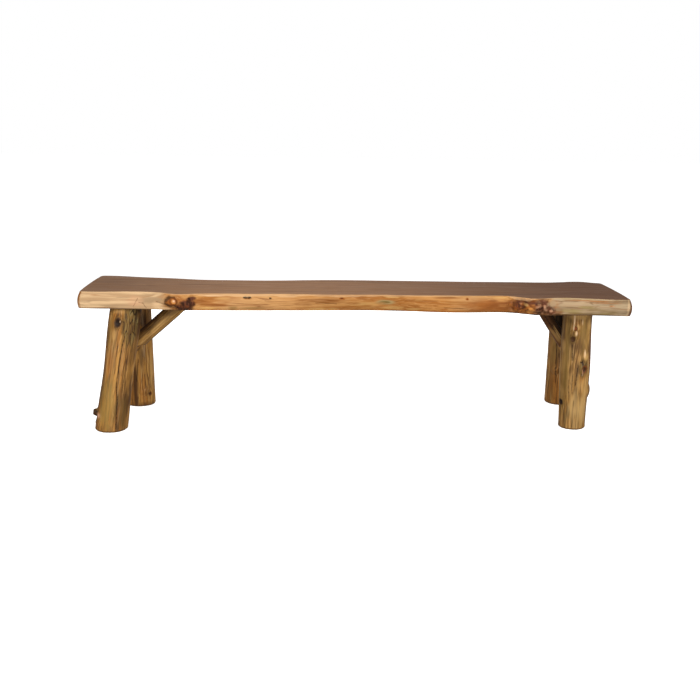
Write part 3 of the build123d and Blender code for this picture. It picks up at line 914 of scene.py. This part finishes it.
# Reach round a straight centre line at even bearings and heights, as the frame has it.
def logReach(node, low, high, cutLow, cutHigh):
    skin = skinOf(node)
    first, last = cutCentre(skin, cutLow), cutCentre(skin, cutHigh)
    slope = (last - first) / (last[2] - first[2])
    girth = np.median(np.hypot(*(levelCut(skin, cutHigh) - last)[:, :2].T))
    bearing = np.arange(0, 2 * pi, logs["columnGap"] / girth)
    heights = np.linspace(low, high, int((high - low) / logs["rowGap"]))
    rows = []
    for height in np.clip(heights, cutLow, cutHigh):
        offset = (levelCut(skin, height) - (first + slope * (height - first[2])))[:, :2]
        turn = np.arctan2(offset[:, 1], offset[:, 0])
        rows.append(reachRound(turn, np.hypot(*offset.T), logs["mortiseShare"] * girth, bearing, 2 * pi))
    centres = first + slope * (heights - first[2])[:, None]
    outward = np.stack([np.cos(bearing), np.sin(bearing), 0 * bearing], axis=-1)
    return centres, outward, np.array(rows), girth


# Distance round the log from a bearing, in millimetres along its skin, which is handed over as
# the angle and the height of each point and the log's girth.
def arcFrom(skin, bearing):
    angle, girth = skin[0], skin[2]
    return girth * (np.mod(angle - np.radians(bearing) + pi, 2 * pi) - pi)


# Distance from the middle of an oval on the skin, in shares of its half height and half width.
def spotAway(skin, height, bearing, halfHeight, halfWidth):
    return np.hypot((skin[1] - height) / halfHeight, arcFrom(skin, bearing) / halfWidth)


# Lays oval patches over a log: full within 0.3 of an oval's reach, none past 1.2 of it.
def layPatches(stain, patches, skin, wobble):
    for *oval, tone, share in patches:
        layStain(stain, tone, share / 100 * ramp(spotAway(skin, *oval) + wobble, 1.2, 0.3))


# Skin of a log between two level planes: the centre line's point at each height plus the outward
# direction times the sum of the reach at each bearing and the relief of flats, hollows, knots and
# checks.
def logSkin(node, log, low, high, cutLow, cutHigh):
    centres, outward, reach, girth = logReach(node, low, high, cutLow, cutHigh)
    place = centres[:, None] + outward * reach[..., None]

    # the log's own directions: along the axis and two across it
    axis = unit(centres[-1] - centres[0])
    east = unit(np.array([1.0, 0.0, 0.0]) - axis * axis[0])
    turned = np.stack([east, np.cross(axis, east), axis], axis=-1)
    own = lambda points: (points - centres[0]) @ turned
    local = own(place)
    angle = np.arctan2(local[..., 1], local[..., 0])
    level = 1000 * place[..., 2]
    skin = angle, level, 1000 * girth

    seed = log["seed"]
    relief = logs["facet"] * softNoise(local, (30, 30, 160), seed)
    relief += logs["groove"] * softNoise(local, (10, 10, 110), seed + 1)
    relief += 0.3 * logs["groove"] * softNoise(local, (4.5, 4.5, 40), seed + 2)
    wobble = softNoise(local, (8, 8, 30), seed + 6)
    stain = np.zeros(reach.shape + (4,))
    swerve = np.zeros(reach.shape)
    layPatches(stain, log["patches"], skin, 0.35 * wobble)
    for oval in log.get("rough", ()):
        patch = ramp(spotAway(skin, *oval) + 0.3 * wobble, 1.2, 0.6)
        ridges = softNoise(local, (7, 7, 34), seed + 3)
        strips = softNoise(local, (3.5, 3.5, 26), seed + 7)
        valley = ramp(abs(ridges), 0.17, 0.04)
        relief += logs["roughDepth"] * patch * (0.4 * ridges + 0.2 * strips - 0.8 * valley)
        layStain(stain, "olive", 0.8 * patch)
        layStain(stain, "umber", 0.6 * patch * ramp(strips, -0.05, 0.3))
        layStain(stain, "moss", 0.6 * patch * ramp(strips, -0.2, -0.55))
        layStain(stain, "pitch", 0.9 * patch * valley)
    for *oval, core, rim, sunk in log.get("knots", ()):
        away = spotAway(skin, *oval) + 0.1 * softNoise(local, 6, seed + 4)
        swerve -= 0.8 * grainShift(arcFrom(skin, oval[1]), away)
        layStain(stain, "olive", 0.35 * ramp(away, 1.6, 1.0))
        layStain(stain, rim, 0.9 * ramp(away, 1.12, 0.88))
        layStain(stain, core, 0.95 * ramp(away, 0.85, 0.62))
        relief += logs["rimHeight"] * ramp(abs(away - 1.05), 0.35, 0.0) - sunk * ramp(away, 0.8, 0.3)
    for highEnd, highBearing, lowEnd, lowBearing, width, depth in log["checks"]:
        part = (level - lowEnd) / (highEnd - lowEnd)
        waver = np.degrees(0.05 * softNoise(local * (0, 0, 1), 45, seed + 5))
        arc = abs(arcFrom(skin, lowBearing + (highBearing - lowBearing) * part + waver))
        taper = ramp(part, -0.02, 0.12) * ramp(part, 1.02, 0.8)
        split = ramp(arc, width / 2, 0.0) * taper
        relief -= depth * split
        layStain(stain, "umber", 0.3 * ramp(arc, 2.2 * width, 0.5 * width) * taper)
        layStain(stain, "pitch", 0.95 * ramp(split, 0.15, 0.6))
    layPatches(stain, log.get("flecks", ()), skin, 0.2 * wobble)
    # Darker towards the foot, over its lowest few millimetres.
    layStain(stain, "umber", 0.6 * ramp(place[..., 2], low + logs["footRim"], low))
    place += outward * relief[..., None] / 1000
    bent = angle + swerve / 1000 / girth
    radius = np.hypot(local[..., 0], local[..., 1])
    grain = np.stack([radius * np.cos(bent), radius * np.sin(bent), local[..., 2]], axis=-1)
    return place, grain, stain, centres, own


# Closes a log at both ends: rings that shrink to the centre at the foot and, at the top, either
# the same or a shoulder with its tenon.
def buildLog(node, log, low, cutLow, chamfer, withTenon):
    place, grain, stain, centres, own = logSkin(node, log, low, slabUnder, cutLow, slabUnder - 0.002)
    foot, head = centres[0], centres[-1]
    ring, top = place[0], place[-1]
    drop = np.array([0, 0, chamfer])
    shrunk = ring - unit(ring - foot) * chamfer
    footRows = [foot - drop + (shrunk - foot) * share for share in (0.0, 0.3, 0.6, 0.85, 0.97, 1.0)]
    headRows = [head + (top - head) * share for share in (0.98, 0.85, 0.6)]
    if withTenon:
        axis = unit(head - foot)
        spoke = unit(top - head - ((top - head) @ axis)[:, None] * axis)
        half, long, bevel = tenon["girth"] / 2, tenon["length"], tenon["chamfer"]
        flare = -(spoke[:, 2] / axis[2])[:, None] * axis * half
        headRows += [head + spoke * half + flare, head + spoke * half + axis * (long - bevel)]
        headRows += [head + spoke * (half - bevel) + axis * long, head + axis * long + 0 * spoke]
    else:
        headRows += [head + (top - head) * 0.3, head + 0 * top]
    rows = np.concatenate([footRows, place, headRows])
    before, after = len(footRows), len(headRows)
    fullGrain = own(rows)
    fullGrain[before:-after] = grain
    fullStain = np.zeros(rows.shape[:2] + (4,))
    fullStain[before:-after] = stain
    faces = np.zeros(rows.shape)
    faces[:before, :, 1] = 1
    faces[-after:, :, 1] = 1
    faces[..., 2] = log["hue"]
    makePiece("log_" + node, rows, (fullGrain, fullStain, faces), logMaterial, node)


rails = {
    "height": 0.236,
    "tenonGirth": 0.028,
    "tenonLength": 0.034,
    "slope": 0.008,
    "swell": 0.0015,
    "relief": 0.0009,
    "points": 110,  # along a rail and round it
    "bevel": 0.001,  # round the tenons' ends
    "hue": 0.55,
    "seeds": {"left": 107, "right": 113},
}


# A rail: a round profile carried along the straight line between the two legs of its end. Its
# half girth steps from the tenon up a slope to the body, which swells as a flat arch.
def buildRail(end):
    low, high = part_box("rail_" + end)
    ends = []
    for row in ("front_", "rear_"):
        skin = skinOf("leg_" + row + end)
        first, last = cutCentre(skin, 0.008), cutCentre(skin, slabUnder - 0.003)
        ends.append(first + (last - first) * (rails["height"] - first[2]) / (last[2] - first[2]))
    axis = unit(ends[1] - ends[0])
    start = ends[0] + axis * ((low.y - ends[0][1]) / axis[1])
    stop = ends[0] + axis * ((high.y - ends[0][1]) / axis[1])
    length = np.linalg.norm(stop - start)
    tenonHalf = rails["tenonGirth"] / 2
    body = (high.z - low.z) / 2 - rails["swell"]
    bevel = rails["bevel"]
    along = np.linspace(3 * bevel, length - 3 * bevel, rails["points"])
    along = np.concatenate([[0, 0, bevel], along, [length - bevel, length, length]])
    inside = np.minimum(along, length - along)
    shoulder = np.clip((inside - rails["tenonLength"]) / rails["slope"], 0, 1)
    half = tenonHalf + (body - tenonHalf) * shoulder
    arch = np.clip(1 - (2 * along / length - 1) ** 2, 0, 1)
    half += rails["swell"] * arch * (inside > rails["tenonLength"])
    half[[0, -1]] = 0
    half[[1, -2]] -= bevel
    angle = np.linspace(0, 2 * pi, rails["points"], endpoint=False)
    up = np.array([0.0, 0.0, 1.0])
    sideways = np.cross(up, axis)
    spoke = np.cos(angle)[:, None] * sideways + np.sin(angle)[:, None] * up
    skin = start + axis * along[:, None, None] + spoke * half[:, None, None]
    turned = np.stack([sideways, up, axis], axis=-1)
    local = (skin - start) @ turned
    hollows = np.minimum(softNoise(local, (14, 14, 90), rails["seeds"][end]), 0)
    relief = rails["relief"] * hollows * (inside > rails["tenonLength"])[:, None]
    skin += spoke * relief[..., None]
    faces = np.zeros(skin.shape)
    faces[..., 2] = rails["hue"]
    marks = (skin - start) @ turned, np.zeros(skin.shape[:2] + (4,)), faces
    makePiece("rail_log_" + end, skin, marks, logMaterial, "rail_" + end)


slabMaterial = slabWood()
logMaterial = peeledLog()
print("Wood finishes made")
buildSlab()
for corner, log in legs.items():
    buildLog("leg_" + corner, log, logs["chamfer"], 0.006, logs["chamfer"], True)
for end, log in braces.items():
    buildLog("brace_" + end, log, 0.252, 0.266, 0.0, False)
for end in ("left", "right"):
    buildRail(end)


fastenerFinish = {
    "wedgeDark": (0.33, 0.17, 0.06),
    "wedgeLight": (0.56, 0.36, 0.18),
    "steelDark": (0.42, 0.41, 0.4),
    "steelLight": (0.62, 0.61, 0.59),
    "roughness": (0.3, 0.5),
    "bump": 0.15,
}


# Wedges and screws keep their CAD shapes and take a finish on Object coordinates.
def fastenerFinished(name, across, along, dark, light, metal):
    material, tree = newMaterial(name, {"Metallic": metal})
    place = addNode(tree, "TexCoord", {}).outputs["Object"]
    brush = grainNoise(tree, place, across, along, 4.0)
    share = stepNode(tree, brush, 0.35, 0.65)
    colour = mixColour(tree, share, fastenerFinish[dark], fastenerFinish[light])
    finishShader(tree, colour, brush, brush, fastenerFinish)
    return material


wedgeWood = fastenerFinished("split_wedge", 500.0, 20.0, "wedgeDark", "wedgeLight", 0.0)
screwSteel = fastenerFinished("brushed_screw", 900.0, 900.0, "steelDark", "steelLight", 1.0)
fasteners = {"wedge": ("wedge_wood", wedgeWood), "brace_screws": ("screw_steel", screwSteel)}
for name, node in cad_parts.items():
    for start, (slotName, material) in fasteners.items():
        if name.startswith(start):
            node.data.materials.clear()
            node.data.materials.append(material)
print("Wedges and screws finished")


studio = {
    "cameraPlace": (-0.1359, -3.4545, 1.0029),
    "cameraYaw": 0.0372,  # radians to the right of straight ahead
    "cameraPitch": 0.2185,  # radians down
    "cameraRoll": 0.0155,  # radians, the picture turned clockwise
    "lens": 51.43,
    "floorTone": 0.9,
    "floorGlow": 0.75,
    "backdrop": 1.0,  # the sky as the camera sees it
    "skyStrength": 0.35,  # the sky as the bench does
    "lightTone": (1.0, 0.985, 0.96),
    # softboxes: place, the point they face, size, power and whether they show in the varnish
    "softboxes": {
        "leftSoftbox": ((-1.75, -1.7, 1.35), (-0.4, 0, 0.3), (1.2, 0.9), 36, True),
        "rightSoftbox": ((1.75, -1.7, 1.35), (0.4, 0, 0.3), (1.2, 0.9), 36, True),
        "lowSoftbox": ((0, -2.8, 0.45), (0, 0, 0.3), (2.4, 0.5), 32, True),
        "backSoftbox": ((0, 2.2, 0.9), (0, 0, 0.3), (2.4, 0.8), 30, False),
    },
}


# The line of sight turns by the yaw, sinks by the pitch, and the picture turns by the roll.
def setCamera():
    yaw, pitch, roll = studio["cameraYaw"], studio["cameraPitch"], studio["cameraRoll"]
    ahead = Vector((np.sin(yaw) * np.cos(pitch), np.cos(yaw) * np.cos(pitch), -np.sin(pitch)))
    right = Vector((np.cos(yaw), -np.sin(yaw), 0))
    up = right.cross(ahead)
    level = Matrix((right, up, -ahead)).transposed()
    turned = level @ Matrix.Rotation(-roll, 3, "Z").inverted()
    camera = newObject("camera", bpy.data.cameras.new("camera"))
    camera.data.lens = studio["lens"]
    camera.data.sensor_width = 36
    camera.matrix_world = Matrix.Translation(studio["cameraPlace"]) @ turned.to_4x4()
    bpy.context.scene.camera = camera


# A rectangular softbox whose face points at its aim.
def softLight(name, place, aim, size, watts, mirrored):
    light = bpy.data.lights.new(name, "AREA")
    light.shape = "RECTANGLE"
    light.size, light.size_y = size
    light.energy = watts
    light.color = studio["lightTone"]
    lamp = newObject(name, light)
    lamp.location = place
    lamp.rotation_euler = (Vector(aim) - Vector(place)).to_track_quat("-Z", "Y").to_euler()
    lamp.visible_glossy = mirrored


# A pale floor that catches shadows but throws no light back at the bench.
def layFloor():
    half = 30.0
    mesh = bpy.data.meshes.new("floor")
    corners = [(-half, -half, 0), (half, -half, 0), (half, half, 0), (-half, half, 0)]
    mesh.from_pydata(corners, [], [(0, 1, 2, 3)])
    floor = newObject("floor", mesh)
    tone, glow = (studio["floorTone"],) * 3 + (1,), studio["floorGlow"]
    matt = {"Base Color": tone, "Roughness": 0.9, "Specular IOR Level": 0.0}
    glowing = {"Emission Color": (1, 1, 1, 1), "Emission Strength": glow}
    mesh.materials.append(newMaterial("pale_floor", matt | glowing)[0])
    floor.visible_diffuse = False
    floor.visible_glossy = False


# A white backdrop that lights the bench more softly than it looks.
def lightSky():
    world = bpy.data.worlds.new("studio")
    world.use_nodes = True
    tree = world.node_tree
    seen = addNode(tree, "LightPath", {}).outputs["Is Camera Ray"]
    strength = addNode(tree, "MapRange", {0: seen, 3: studio["skyStrength"], 4: studio["backdrop"]})
    tree.nodes["Background"].inputs[0].default_value = (1, 1, 1, 1)
    tree.links.new(strength.outputs[0], tree.nodes["Background"].inputs[1])
    bpy.context.scene.world = world


setCamera()
layFloor()
lightSky()
for name, settings in studio["softboxes"].items():
    softLight(name, *settings)
bpy.context.scene.view_settings.view_transform = "Standard"
print("Studio set")
